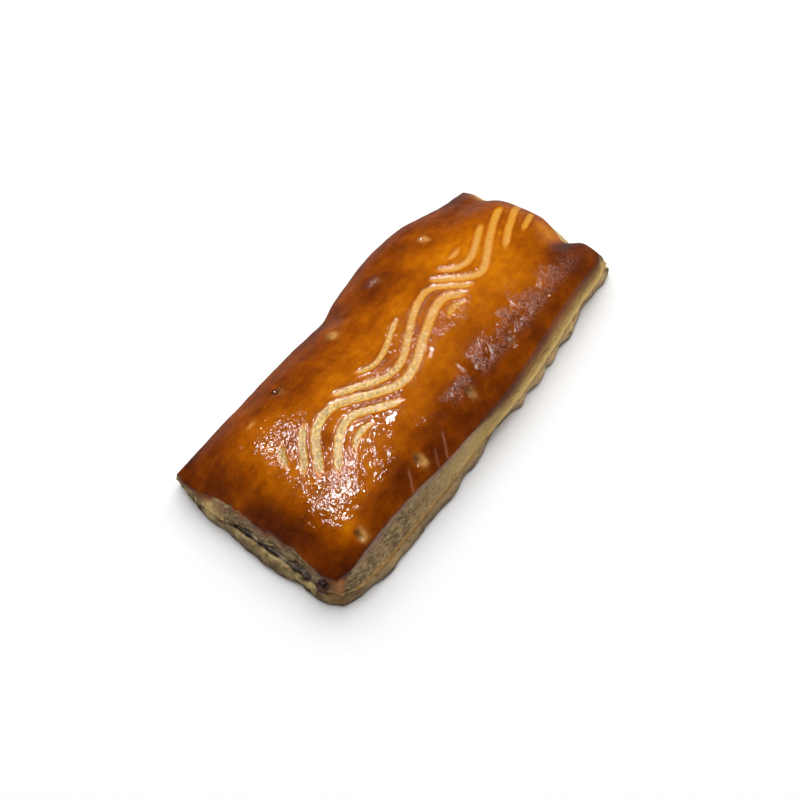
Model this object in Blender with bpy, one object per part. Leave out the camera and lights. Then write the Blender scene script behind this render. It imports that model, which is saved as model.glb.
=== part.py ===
"""A baked sausage roll of puff pastry: a flat base sheet, a ridge of meat filling lying on it,
and a puffed lid sheet pressed down round the filling.  Both ends are cut across.

+X runs along the roll, from the flattened end with the open slit to the high domed end.
+Y points to the bulging long side.  Z = 0 is the flat underside, and the origin is below the
middle of the roll's box.
"""
import bmesh
import bpy
import numpy as np

MM = 0.001

# Heights and thicknesses, in metres.
GAP = 0.3 * MM                # air left between two touching pieces
SEAM_HEIGHT = 4.8 * MM        # the lid meets the base here along both long sides
END_SEAM_HEIGHT = 6.2 * MM    # and here at the middle of each cut end
END_SEAM_REACH = 0.10         # share of the length over which it rises to that
END_SEAM_RAMP = 0.30          # and share of the width, in from each corner
BASE_THICKNESS = 3.4 * MM     # pastry under the filling
CROWN_HEIGHT = 23.0 * MM      # top of the dome above the floor

# Steps of the two sheets' grids, along the roll and across it, and of the filling's.
STEPS_LONG = 46
STEPS_WIDE = 24
FILLING_STEPS_LONG = 30
FILLING_STEPS_ROUND = 22
WELD = 0.01 * MM              # merging distance

# Outline of the base sheet, seen from above: one curve a side, as (x, y) points that run from
# the slit end to the domed end, or from the right side (-Y) to the left (+Y).
RIGHT_SIDE = np.array([(-71.2, -31.2), (-66.3, -33.8), (-59.0, -35.0), (-45.0, -35.5), (-25.0, -35.8),
                       (-8.0, -35.5), (12.0, -35.9), (35.0, -34.6), (55.0, -32.8), (70.0, -31.8),
                       (75.2, -30.6)]) * MM
LEFT_SIDE = np.array([(-71.6, 33.4), (-64.0, 32.6), (-45.0, 31.9), (-20.0, 31.8), (-4.0, 31.9),
                      (10.0, 34.6), (28.0, 36.0), (41.0, 35.2), (50.0, 32.4), (58.0, 30.2),
                      (66.0, 29.6), (73.2, 29.4)]) * MM
SLIT_END = np.array([(-71.2, -31.2), (-73.8, -25.0), (-74.7, -14.0), (-75.0, -4.0), (-74.8, 8.0),
                     (-74.0, 19.0), (-71.6, 33.4)]) * MM
DOMED_END = np.array([(75.2, -30.6), (74.8, -18.0), (74.2, 0.0), (73.6, 18.0), (73.2, 29.4)]) * MM

# The lid's top edge: its height above the floor, and its lean, which is how far it lies inside
# the base's outline because the lid's wall slopes in.  "at" is x on the sides and y on the ends.
RIGHT_EDGE = {"at": np.array([-72, -62, -40, -26, -11, 3, 16, 32, 55, 72]) * MM,
              "height": np.array([9.0, 10.8, 11.2, 11.0, 10.6, 10.6, 11.4, 11.8, 11.4, 9.6]) * MM,
              "lean": np.array([3.2, 4.8, 5.0, 3.8, 3.0, 2.8, 3.3, 3.6, 3.2, 2.8]) * MM}
LEFT_EDGE = {"at": np.array([-72, -60, -30, 0, 30, 55, 72]) * MM,
             "height": np.array([7.8, 9.0, 9.6, 9.6, 9.8, 9.0, 7.2]) * MM,
             "lean": np.array([2.2, 2.4, 2.4, 2.4, 2.6, 2.4, 2.2]) * MM}
SLIT_EDGE = {"at": np.array([-31, -27, -23, -16, -7, 1, 9, 14, 20, 25, 33]) * MM,
             "lean": np.array([2.8, 3.9, 5.1, 6.0, 6.6, 5.7, 6.1, 5.4, 3.8, 2.2, 1.8]) * MM}
DOMED_EDGE = {"at": np.array([-31, -24, -15, -4, 8, 18, 29]) * MM,
              "lean": np.array([5.6, 6.4, 5.6, 3.6, 3.4, 4.0, 2.6]) * MM}
# The lid's inset at the seam, below that edge.  It draws back along the open part of the slit.
SIDE_SEAM_LEAN = 1.3 * MM
DOMED_SEAM_LEAN = 2.3 * MM
SLIT_SEAM = {"at": np.array([-31, -25, -21, -12, -4, 2, 8, 13, 20, 33]) * MM,
             "lean": np.array([1.8, 3.2, 4.6, 4.8, 4.8, 4.6, 3.5, 2.4, 1.7, 1.4]) * MM}
SHOULDER_LEAN = 0.70          # the shoulder's share of the way from the seam's inset to the edge's
SHOULDER_DROP = 0.22          # and of the way down from the edge to the seam

# Share of the dome's height that is left towards the two ends, which the cutter pressed down.
SLIT_PRESS = {"at": np.array([-74, -70, -66, -62, -52, -38, 0, 75]) * MM,
              "kept": np.array([0.14, 0.27, 0.46, 0.64, 0.87, 0.97, 1.0, 1.0])}
DOMED_PRESS = {"at": np.array([-75, 30, 50, 60, 66, 71, 74]) * MM,
               "kept": np.array([1.0, 1.0, 0.93, 0.82, 0.68, 0.46, 0.30])}
DOME_SQUARENESS = 2.3         # powers that make the cross section a flat-topped arch
DOME_FULLNESS = 0.72

# Swells (+) and creases (-) of the lid: height, then middle and reach along x and along y.
SWELLS = np.array([(-6.0, 76.0, 17.0, -14.5, 5.2),     # crease right of the dome at the domed end
                   (-2.2, 76.0, 22.0, 17.0, 4.0),      # crease left of it
                   (1.0, 76.0, 20.0, -22.5, 3.2),      # flank outside the right crease
                   (1.2, 26.0, 20.0, 29.0, 5.0),       # bulge of the left side
                   (-1.2, -4.0, 4.0, 27.0, 6.0)]) * MM  # pinch where that bulge starts

# Marks of the docking pins that pressed lid and base together: x, y.
DOCKING_MARKS = np.array([(-35.5, 20.7), (-10.8, 20.6), (13.2, 22.4), (36.2, 20.4),
                          (-55.8, -26.2), (-29.4, -26.6), (-3.0, -25.4), (19.6, -24.4)]) * MM
DOCKING_RADIUS = 2.6 * MM
DOCKING_DEPTH = 1.6 * MM

# The base's wall from its top edge down: share of the seam height, inset from the outline.
BASE_WALL = ((0.86, 0.5 * MM), (0.5, 0.0), (0.2, 0.3 * MM), (0.0, 1.3 * MM))
BASE_END_SLOPE = 1.6 * MM     # the end walls lean in by this at the seam
BASE_TOP_INSETS = (2.2 * MM, 2.0 * MM, 3.2 * MM, 3.0 * MM)  # right, left, slit end, domed end
SCALLOP_DEPTH = 0.9 * MM
SCALLOP_PITCH = 9.3 * MM
SCALLOP_WANDER = 23.0 * MM    # the lobes' spacing drifts over this length
SCALLOP_DRIFT = 1.1           # and by this much, in radians
SCALLOP_SLANT = 1.7           # metres along the side that one metre round the end counts for
RIM_WIDTH = 0.20              # puffed rim of the base, as a share of its width and length
RIM_FLAT = 0.02               # its outermost share keeps the seam's height

# Cross sections of the filling along x.
FILLING = {"at": np.array([-72, -62, -50, -35, 0, 45, 60, 68, 74]) * MM,
           "depth": np.array([1.1, 4.2, 9.0, 12.6, 13.6, 12.8, 9.6, 5.4, 3.6]) * MM,
           "half_width": np.array([15.5, 16.4, 16.8, 17.0, 17.0, 16.4, 15.4, 14.4, 13.5]) * MM,
           "middle": np.array([-8.0, -5.0, -2.6, 0.0, 0.5, 0.2, 0.0, 0.0, 0.0]) * MM}
FILLING_ENDS = (-71.2 * MM, 70.2 * MM)
POCKET_RISE = 0.7 * MM        # room in the lid above the filling, besides the gap
POCKET_SPREAD = 1.6 * MM      # and beside it

CRUST = {"colour": (0.42, 0.13, 0.012, 1.0), "roughness": 0.25}
BASE_PASTRY = {"colour": (0.50, 0.34, 0.15, 1.0), "roughness": 0.6}
MEAT = {"colour": (0.09, 0.05, 0.03, 1.0), "roughness": 0.7}
CREASE_ANGLE = 50             # edges sharper than this, in degrees, aren't shaded smooth


def curve_through(stations, values, at):
    """Smooth curve through (station, value) pairs: cubic pieces with finite-difference slopes."""
    slopes = np.gradient(values, stations)
    piece = np.clip(np.searchsorted(stations, at) - 1, 0, len(stations) - 2)
    width = stations[piece + 1] - stations[piece]
    s = np.clip((at - stations[piece]) / width, 0.0, 1.0)
    return ((2 * s**3 - 3 * s**2 + 1) * values[piece] + (s**3 - 2 * s**2 + s) * width * slopes[piece]
            + (3 * s**2 - 2 * s**3) * values[piece + 1] + (s**3 - s**2) * width * slopes[piece + 1])


def ease(low, high, at):
    """0 below low, 1 above high and a smooth ramp between."""
    s = np.clip((at - low) / (high - low), 0.0, 1.0)
    return s * s * (3 - 2 * s)


def bell(at, centre, reach):
    return np.exp(-((at - centre) / reach) ** 2)


# ---- Plan: where a share u of the length and v of the width lies ----

def side_point(side, along, t):
    """Point at the fraction t of a side's run; along is the axis that the side follows."""
    run = side[0, along] + t * (side[-1, along] - side[0, along])
    other = curve_through(side[:, along], side[:, 1 - along], run)
    return (run, other) if along == 0 else (other, run)


def outline_patch(u, v):
    """Plan position between the four sides: u runs from slit end to domed end, v right to left."""
    right, left = side_point(RIGHT_SIDE, 0, u), side_point(LEFT_SIDE, 0, u)
    slit, domed = side_point(SLIT_END, 1, v), side_point(DOMED_END, 1, v)
    place = []
    for k in (0, 1):
        slit_chord = (1 - v) * RIGHT_SIDE[0, k] + v * LEFT_SIDE[0, k]
        domed_chord = (1 - v) * RIGHT_SIDE[-1, k] + v * LEFT_SIDE[-1, k]
        place.append((1 - v) * right[k] + v * left[k] + (1 - u) * (slit[k] - slit_chord)
                     + u * (domed[k] - domed_chord))
    return place


def plan(u, v, right, left, slit, domed):
    """outline_patch pulled in by a distance at each side."""
    x, y = outline_patch(u, v)
    x = x + (1 - u) * slit - u * domed
    y = y + (1 - v) * right - v * left
    return x, y


def fractions(x, y):
    """Shares of the way from slit end to domed end, and from right side to left, at (x, y)."""
    first = curve_through(SLIT_END[:, 1], SLIT_END[:, 0], y)
    last = curve_through(DOMED_END[:, 1], DOMED_END[:, 0], y)
    right = curve_through(RIGHT_SIDE[:, 0], RIGHT_SIDE[:, 1], x)
    left = curve_through(LEFT_SIDE[:, 0], LEFT_SIDE[:, 1], x)
    return (x - first) / (last - first), (y - right) / (left - right)


# ---- Heights over the plan ----

def seam_height(x, y):
    """The seam is low along the sides and rises to a slit in the middle of the ends."""
    u, v = fractions(x, y)
    to_end = 1 - ease(0.0, END_SEAM_REACH, u) * ease(0.0, END_SEAM_REACH, 1 - u)
    middle = ease(0.0, END_SEAM_RAMP, v) * ease(0.0, END_SEAM_RAMP, 1 - v)
    return SEAM_HEIGHT + (END_SEAM_HEIGHT - SEAM_HEIGHT) * to_end * middle


def base_top(x, y):
    """Upper face of the base sheet: thin under the filling, puffed at the rim."""
    u, v = fractions(x, y)
    inside = 1.0
    for share in (u, 1 - u, v, 1 - v):
        inside = inside * ease(RIM_FLAT, RIM_WIDTH, share)
    return seam_height(x, y) - (SEAM_HEIGHT - BASE_THICKNESS) * inside


def filling_arch(x, y, spread, rise):
    """Height of the filling's rounded back above its floor, with the section grown by a margin."""
    half_width = curve_through(FILLING["at"], FILLING["half_width"], x) + spread
    across = (y - curve_through(FILLING["at"], FILLING["middle"], x)) / half_width
    depth = curve_through(FILLING["at"], FILLING["depth"], x) + rise
    return depth * np.sqrt(np.clip(1 - across**2, 0.0, 1.0))


def lid_underside(x, y):
    """The lid lies on the base at its rim and arches over the filling."""
    return base_top(x, y) + GAP + filling_arch(x, y, POCKET_SPREAD, POCKET_RISE)


def lid_top(x, y):
    """The browned top: a flat-topped arch between the two edges, pressed down at the ends."""
    v = fractions(x, y)[1]
    right = curve_through(RIGHT_EDGE["at"], RIGHT_EDGE["height"], x)
    left = curve_through(LEFT_EDGE["at"], LEFT_EDGE["height"], x)
    edge = right + (left - right) * v
    arch = np.clip(1 - np.abs(2 * v - 1) ** DOME_SQUARENESS, 0.0, 1.0) ** DOME_FULLNESS
    for press in (SLIT_PRESS, DOMED_PRESS):
        arch = arch * curve_through(press["at"], press["kept"], x)
    height = edge + (CROWN_HEIGHT - edge) * arch
    for swell, middle_x, reach_x, middle_y, reach_y in SWELLS:
        height = height + swell * bell(x, middle_x, reach_x) * bell(y, middle_y, reach_y)
    for mark_x, mark_y in DOCKING_MARKS:
        height = height - DOCKING_DEPTH * bell(x, mark_x, DOCKING_RADIUS) * bell(y, mark_y, DOCKING_RADIUS)
    return height


# ---- Points of the lid's and the base's rings, for arrays of u and v ----

def lid_ring(u, v, share):
    """Plan position on the lid's wall, from the seam (share 0) to the top edge (share 1)."""
    x, y = outline_patch(u, v)
    slit_seam = curve_through(SLIT_SEAM["at"], SLIT_SEAM["lean"], y)
    insets = []
    for edge, across, seam_lean in ((RIGHT_EDGE, x, SIDE_SEAM_LEAN), (LEFT_EDGE, x, SIDE_SEAM_LEAN),
                                    (SLIT_EDGE, y, slit_seam), (DOMED_EDGE, y, DOMED_SEAM_LEAN)):
        lean = curve_through(edge["at"], edge["lean"], across)
        insets.append(seam_lean + (lean - seam_lean) * share)
    return plan(u, v, *insets)


def lid_top_point(u, v):
    x, y = lid_ring(u, v, 1.0)
    return x, y, lid_top(x, y)


def lid_shoulder_point(u, v):
    """Just under the top edge, where the crust turns over into the cut wall."""
    edge = lid_top_point(u, v)[2]
    x, y = lid_ring(u, v, SHOULDER_LEAN)
    return x, y, edge - SHOULDER_DROP * (edge - seam_height(x, y))


def lid_underside_point(u, v):
    x, y = lid_ring(u, v, 0.0)
    return x, y, lid_underside(x, y)


def base_top_point(u, v):
    x, y = plan(u, v, *BASE_TOP_INSETS)
    return x, y, base_top(x, y)


def scallops(x, y):
    """Extra inset of the base's rim between the lobes of its pressed edge."""
    run = x + SCALLOP_SLANT * y
    lobes = np.abs(np.sin(np.pi * run / SCALLOP_PITCH + SCALLOP_DRIFT * np.sin(run / SCALLOP_WANDER)))
    return SCALLOP_DEPTH * (1 - lobes)


def base_wall_row(share, inset):
    """Function for the points of the base's edge at a share of the seam height."""
    def row_point(u, v):
        side = inset + scallops(*outline_patch(u, v)) * (1 - share)
        end = side + BASE_END_SLOPE * share
        x, y = plan(u, v, side, side, end, end)
        return x, y, seam_height(x, y) * share
    return row_point


# ---- Building ----

def boundary(bm):
    return [edge for edge in bm.edges if edge.is_boundary]


def add_level_grid(bm, level, long_steps=STEPS_LONG, wide_steps=STEPS_WIDE):
    """Unit square grid at z = -level: x and y stand for u and v until place_levels moves it."""
    grid = bmesh.ops.create_grid(bm, x_segments=long_steps, y_segments=wide_steps, size=0.5)
    bmesh.ops.translate(bm, verts=grid["verts"], vec=(0.5, 0.5, -level))


def extrude_rim(bm, rows):
    """Grow the open rim downwards, one level for each row."""
    for _ in range(rows):
        grown = bmesh.ops.extrude_edge_only(bm, edges=boundary(bm))["geom"]
        verts = [item for item in grown if isinstance(item, bmesh.types.BMVert)]
        bmesh.ops.translate(bm, verts=verts, vec=(0.0, 0.0, -1.0))


def place_levels(bm, level_points):
    """Move every vertex from its unit place to the point that its level's function gives."""
    verts = list(bm.verts)
    units = np.array([vert.co for vert in verts])
    levels = np.round(-units[:, 2])
    for level, point in enumerate(level_points):
        here = np.flatnonzero(levels == level)
        for k, place in zip(here, np.transpose(point(units[here, 0], units[here, 1]))):
            verts[k].co = place


def finish_object(name, bm, finish, collection):
    """Turn the bmesh into a smooth-shaded object with its own material."""
    bmesh.ops.recalc_face_normals(bm, faces=bm.faces)
    mesh = bpy.data.meshes.new(name)
    bm.to_mesh(mesh)
    bm.free()
    mesh.shade_smooth()
    mesh.set_sharp_from_angle(angle=np.radians(CREASE_ANGLE))
    material = bpy.data.materials.new(name)
    material.use_nodes = True
    shader = material.node_tree.nodes["Principled BSDF"]
    shader.inputs["Base Color"].default_value = finish["colour"]
    shader.inputs["Roughness"].default_value = finish["roughness"]
    shader.inputs["Metallic"].default_value = 0.0
    mesh.materials.append(material)
    item = bpy.data.objects.new(name, mesh)
    collection.objects.link(item)
    return item


def build_lid(collection):
    """Top grid, shoulder and seam rings, and an underside grid welded to the seam ring."""
    bm = bmesh.new()
    add_level_grid(bm, 0)
    extrude_rim(bm, 2)
    add_level_grid(bm, 2)
    bmesh.ops.remove_doubles(bm, verts=bm.verts, dist=WELD)
    place_levels(bm, (lid_top_point, lid_shoulder_point, lid_underside_point))
    finish_object("pastry_lid", bm, CRUST, collection)


def build_base(collection):
    """Top grid, wall rings down to the floor, and one flat face to rest on."""
    bm = bmesh.new()
    add_level_grid(bm, 0)
    extrude_rim(bm, len(BASE_WALL))
    bmesh.ops.holes_fill(bm, edges=boundary(bm))
    place_levels(bm, (base_top_point, *(base_wall_row(share, inset) for share, inset in BASE_WALL)))
    finish_object("pastry_base", bm, BASE_PASTRY, collection)


def filling_point(u, v):
    """v runs over the rounded back from right to left, then back under it along the floor."""
    x = FILLING_ENDS[0] + u * (FILLING_ENDS[1] - FILLING_ENDS[0])
    middle = curve_through(FILLING["at"], FILLING["middle"], x)
    half_width = curve_through(FILLING["at"], FILLING["half_width"], x)
    y = middle - half_width * np.cos(2 * np.pi * v)
    back = np.where(v < 0.5, filling_arch(x, y, 0.0, 0.0), 0.0)
    return x, y, base_top(x, y) + GAP + back


def build_filling(collection):
    """A grid rolled up into a closed ridge, welded along its edge and closed at the two ends."""
    bm = bmesh.new()
    add_level_grid(bm, 0, FILLING_STEPS_LONG, FILLING_STEPS_ROUND)
    place_levels(bm, (filling_point,))
    bmesh.ops.remove_doubles(bm, verts=bm.verts, dist=WELD)
    bmesh.ops.holes_fill(bm, edges=boundary(bm))
    finish_object("meat_filling", bm, MEAT, collection)


for old in list(bpy.data.objects):
    bpy.data.objects.remove(old, do_unlink=True)
pieces = bpy.data.collections.new("sausage_roll")
bpy.context.scene.collection.children.link(pieces)
build_base(pieces)
build_filling(pieces)
build_lid(pieces)
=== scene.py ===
import itertools

import bpy
import numpy as np
from mathutils import Matrix, Vector


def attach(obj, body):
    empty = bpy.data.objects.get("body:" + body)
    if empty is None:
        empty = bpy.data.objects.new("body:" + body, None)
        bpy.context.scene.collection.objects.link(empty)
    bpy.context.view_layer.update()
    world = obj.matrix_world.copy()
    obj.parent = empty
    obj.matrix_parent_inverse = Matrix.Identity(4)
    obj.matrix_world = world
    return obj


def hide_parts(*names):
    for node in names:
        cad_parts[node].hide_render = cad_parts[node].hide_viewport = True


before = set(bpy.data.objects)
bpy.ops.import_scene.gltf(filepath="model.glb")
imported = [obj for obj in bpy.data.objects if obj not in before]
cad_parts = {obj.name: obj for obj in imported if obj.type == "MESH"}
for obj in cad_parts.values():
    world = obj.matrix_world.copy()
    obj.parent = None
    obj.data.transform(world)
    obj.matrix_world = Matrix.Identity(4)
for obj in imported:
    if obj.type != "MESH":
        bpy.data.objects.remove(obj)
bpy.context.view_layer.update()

# ==== Pastry base ====
# The lower sheet of puff pastry, on which the meat is laid.  The lid was pressed down on it, so
# its rim is squeezed out into a lobed lip, dry and tan, with a smooth pale roll at the cut ends.
MM = 0.001
SEAM_HEIGHT = 4.8 * MM  # top of the rim along the long sides
END_SEAM_HEIGHT = 6.2 * MM  # and in the middle of the ends
END_SEAM_REACH = 0.10  # share of the length over which it rises to that
END_SEAM_RAMP = 0.30  # and share of the width, in from each corner
BASE_THICKNESS = 3.4 * MM  # under the filling
RIM_WIDTH = 0.20  # puffed rim, as a share of width and length
RIM_FLAT = 0.02

# Outline seen from above, as (x, y) points from the slit end to the domed end, or right to left.
RIGHT_SIDE = np.array([
    (-71.2, -31.2), (-66.3, -33.8), (-59.0, -35.0), (-45.0, -35.5), (-25.0, -35.8), (-8.0, -35.5),
    (12.0, -35.9), (35.0, -34.6), (55.0, -32.8), (70.0, -31.8), (75.2, -30.6)]) * MM
LEFT_SIDE = np.array([
    (-71.6, 33.4), (-64.0, 32.6), (-45.0, 31.9), (-20.0, 31.8), (-4.0, 31.9), (10.0, 34.6),
    (28.0, 36.0), (41.0, 35.2), (50.0, 32.4), (58.0, 30.2), (66.0, 29.6), (73.2, 29.4)]) * MM
SLIT_END = np.array([
    (-71.2, -31.2), (-73.8, -25.0), (-74.7, -14.0), (-75.0, -4.0), (-74.8, 8.0), (-74.0, 19.0),
    (-71.6, 33.4)]) * MM
DOMED_END = np.array([(75.2, -30.6), (74.8, -18.0), (74.2, 0.0), (73.6, 18.0), (73.2, 29.4)]) * MM


def profile(**columns):
    """Table of sizes given in millimetres."""
    return {name: np.array(column) * MM for name, column in columns.items()}


# The lip's lobes: how far it stands out (+) or back (-) from that outline.
RIGHT_LOBES = profile(
    at=[-72, -66, -62, -57, -50, -45, -38, -32, -26, -18.5, -13, -8, -4, 0, 4, 8.5, 12, 17, 24, 28,
        32, 38, 45, 50, 56, 62, 67, 72, 76],
    out=[-.4, -.9, -1.1, .1, -.3, 0, -.2, -.2, .4, -.6, -.1, -.7, -1.5, -2.5, -2.2, -1.6, -.3, -1.1,
        .35, -.75, 0, -.95, .4, -.2, -1.5, -1.0, -.7, .3, -.3])
SLIT_LOBES = profile(
    at=[-31, -28, -23, -18, -13, -7, 0, 6, 11.5, 14, 20, 27, 33],
    out=[-.5, -.1, -.7, -1.4, -.6, -.3, -.6, -.7, -1.2, -.5, -.4, -.6, -1.3])
LOBE_DEPTH = 0.9 * MM  # of the even lobes on the other two sides
LOBE_PITCH = 9.3 * MM  # along a side
END_LOBE_RATE = 1.7  # how many times closer they stand along an end
LOBE_UNEVENNESS = 0.7
END_INSET = 0.5 * MM  # how much further the rim stands back at the two ends
# The rim's profile down to the floor: inset from the outline, share of the lobes, share of height.
RIM_PROFILE = {"at": np.array([0.0, 0.10, 0.22, 0.36, 0.52, 0.68, 0.84, 1.0]),
               "inset": np.array([2.2, 1.75, 1.1, 0.55, 0.1, 0.0, 0.15, 0.6]) * MM,
               "lobes": np.array([0.25, 0.4, 0.6, 0.85, 1.0, 1.0, 0.9, 0.8]),
               "height": np.array([1.0, 0.97, 0.86, 0.70, 0.50, 0.30, 0.12, 0.0])}
BASE_STEPS = (336, 148)  # along, across
BASE_RIM_ROWS = 15
UNDERSIDE_STRIDE = 4  # the underside's cells are this many fine steps wide
HOLLOW_WIDTH = 14  # millimetres
HOLLOW_DEPTH = 0.25 * MM  # in the baked underside
# Heights of the relief in millimetres: layers, bubbles and lumps on the rim's wall, and bumps and
# blisters on the apron, the strip before the slit where the sheet's top lies open.
RISE = {"layers": 0.16, "bubbles": 0.30, "lumps": 0.22, "bumps": 0.34, "blisters": 0.45}
APRON_EDGE = (3.4, 4.2)  # millimetres in from the end, over which the apron dies out
APRON_ROWS = 3
APRON_HOLE = (-71.8, 14.3, 0.8)  # x, y and radius in millimetres


def curve_through(stations, values, at):
    """Smooth curve through (station, value) pairs."""
    slopes = np.gradient(values, stations)
    piece = np.clip(np.searchsorted(stations, at) - 1, 0, len(stations) - 2)
    width = stations[piece + 1] - stations[piece]
    s = np.clip((at - stations[piece]) / width, 0.0, 1.0)
    return ((2 * s**3 - 3 * s**2 + 1) * values[piece]
            + (s**3 - 2 * s**2 + s) * width * slopes[piece]
            + (3 * s**2 - 2 * s**3) * values[piece + 1]
            + (s**3 - s**2) * width * slopes[piece + 1])


def follow(table, column, at):
    return curve_through(table["at"], table[column], at)


def ease(low, high, at):
    """0 below low, 1 above high and a smooth ramp between."""
    s = np.clip((at - low) / (high - low), 0.0, 1.0)
    return s * s * (3 - 2 * s)


def bell(at, centre, reach):
    return np.exp(-((at - centre) / reach) ** 2)


def between(share, first, last):
    return first + (last - first) * share


def amid(share, reach):
    """1 away from both ends of a share that runs from 0 to 1, 0 at them."""
    return ease(0.0, reach, share) * ease(0.0, reach, 1 - share)


LATTICE = 32  # the random lattice repeats after so many cells


def lumps(points, size, seed):
    """Smooth random field, about -1 to 1, whose lumps are size millimetres wide."""
    slopes = np.random.default_rng(seed).normal(size=(LATTICE, LATTICE, LATTICE, 3))
    slopes /= np.linalg.norm(slopes, axis=3, keepdims=True)
    place = points / (np.array(size) * MM * np.ones(3))
    cell = np.floor(place).astype(int)
    within = place - cell
    fade = within**3 * (within * (within * 6 - 15) + 10)
    total = np.zeros(len(points))
    for corner in itertools.product((0, 1), repeat=3):
        near = slopes[tuple(((cell + corner) % LATTICE).T)]
        weight = np.prod(np.where(corner, fade, 1 - fade), axis=1)
        total += weight * np.sum(near * (within - corner), axis=1)
    return total * 1.7


def rough(points, size, seed, layers=3):
    """Lumps with finer lumps on them, each layer half the size and height of the last."""
    total = 0.0
    for k in range(layers):
        total = total + lumps(points, np.array(size) / 2**k, seed + k) / 2**k
    return total


def side_point(side, along, t):
    run = side[0, along] + t * (side[-1, along] - side[0, along])
    other = curve_through(side[:, along], side[:, 1 - along], run)
    return (run, other) if along == 0 else (other, run)


def outline_patch(u, v):
    """Plan position: u runs from slit end to domed end, v from right side to left."""
    right, left = side_point(RIGHT_SIDE, 0, u), side_point(LEFT_SIDE, 0, u)
    slit, domed = side_point(SLIT_END, 1, v), side_point(DOMED_END, 1, v)
    place = []
    for k in (0, 1):
        slit_chord = (1 - v) * RIGHT_SIDE[0, k] + v * LEFT_SIDE[0, k]
        domed_chord = (1 - v) * RIGHT_SIDE[-1, k] + v * LEFT_SIDE[-1, k]
        place.append((1 - v) * right[k] + v * left[k] + (1 - u) * (slit[k] - slit_chord)
                     + u * (domed[k] - domed_chord))
    return place


def plan(u, v, right, left, slit, domed):
    """outline_patch pulled in by a distance at each side."""
    x, y = outline_patch(u, v)
    return x + (1 - u) * slit - u * domed, y + (1 - v) * right - v * left


def fractions(x, y):
    """Shares of the way from slit end to domed end, and from right side to left, at (x, y)."""
    first = curve_through(SLIT_END[:, 1], SLIT_END[:, 0], y)
    last = curve_through(DOMED_END[:, 1], DOMED_END[:, 0], y)
    right = curve_through(RIGHT_SIDE[:, 0], RIGHT_SIDE[:, 1], x)
    left = curve_through(LEFT_SIDE[:, 0], LEFT_SIDE[:, 1], x)
    return (x - first) / (last - first), (y - right) / (left - right)


def seam_height(x, y):
    u, v = fractions(x, y)
    to_end = 1 - amid(u, END_SEAM_REACH)
    return SEAM_HEIGHT + (END_SEAM_HEIGHT - SEAM_HEIGHT) * to_end * amid(v, END_SEAM_RAMP)


def base_top(x, y):
    """Upper face of the base: thin under the filling, puffed at the rim."""
    u, v = fractions(x, y)
    inside = 1.0
    for share in (u, 1 - u, v, 1 - v):
        inside = inside * ease(RIM_FLAT, RIM_WIDTH, share)
    return seam_height(x, y) - (SEAM_HEIGHT - BASE_THICKNESS) * inside


def base_ring(u, v, down):
    """Points of the rim's profile, from its inner edge (down = 0) to the floor (1)."""
    inset = follow(RIM_PROFILE, "inset", down)
    lobes = follow(RIM_PROFILE, "lobes", down)
    x, y = outline_patch(u, v)
    uneven = lumps(np.stack([x, y, 0 * x], axis=1), 13, 7)
    arches = np.abs(np.sin(np.pi * (x + END_LOBE_RATE * y) / LOBE_PITCH + uneven))
    even = -LOBE_DEPTH * (1 + LOBE_UNEVENNESS * uneven) * (1 - arches)
    right = inset - lobes * follow(RIGHT_LOBES, "out", x)
    slit = inset + END_INSET - lobes * follow(SLIT_LOBES, "out", y)
    x, y = plan(u, v, right, inset - lobes * even, slit, inset + END_INSET - lobes * even)
    return x, y, seam_height(x, y) * follow(RIM_PROFILE, "height", down)


class Sheet:
    """Closed skin of a rolled sheet: a fine top grid, rows down its wall, and a coarser underside
    whose outer cells take in every vertex of the last row."""

    def __init__(self, u_lines, v_lines, rows, stride):
        self.rows = rows
        index = np.arange(len(u_lines) * len(v_lines)).reshape(len(u_lines), len(v_lines))
        rim = np.concatenate([index[:-1, 0], index[-1, :-1], index[:0:-1, -1], index[0, :0:-1]])
        u, v = (grid.ravel() for grid in np.meshgrid(u_lines, v_lines, indexing="ij"))
        quads = np.stack([index[:-1, :-1], index[1:, :-1], index[1:, 1:], index[:-1, 1:]], axis=-1)
        self.faces = quads.reshape(-1, 4).tolist()
        upper = rim
        for row in range(rows):
            lower = index.size + row * len(rim) + np.arange(len(rim))
            wall = [upper, lower, np.roll(lower, -1), np.roll(upper, -1)]
            self.faces += np.stack(wall, axis=1).tolist()
            upper = lower
        inner = index[stride:-1:stride, stride:-1:stride]
        under = np.full(index.shape, -1)
        under.flat[rim] = upper
        under[stride:-1:stride, stride:-1:stride] = (upper[-1] + 1
                                                     + np.arange(inner.size).reshape(inner.shape))
        steps = range(stride)
        for i in range(0, len(u_lines) - 1, stride):
            for j in range(0, len(v_lines) - 1, stride):
                walk = ([(i, j + k) for k in steps] + [(i + k, j + stride) for k in steps]
                        + [(i + stride, j + stride - k) for k in steps]
                        + [(i + stride - k, j) for k in steps])
                self.faces.append([int(under[at]) for at in walk if under[at] >= 0])
        self.u, self.v = (np.concatenate([w, np.tile(w[rim], rows), w[inner.ravel()]])
                          for w in (u, v))
        self.level = np.repeat(np.arange(rows + 2), [index.size] + [len(rim)] * rows + [inner.size])
        self.down = np.minimum(self.level / rows, 1.0)

    def place(self, ring, top, underside):
        """Points on the wall from ring(u, v, share of the way down), closed above and below it at
        the heights top(x, y) and underside(x, y)."""
        x, y, z = ring(self.u, self.v, self.down)
        z = np.where(self.level == 0, top(x, y), z)
        return np.stack([x, y, np.where(self.level > self.rows, underside(x, y), z)], axis=1)


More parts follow.
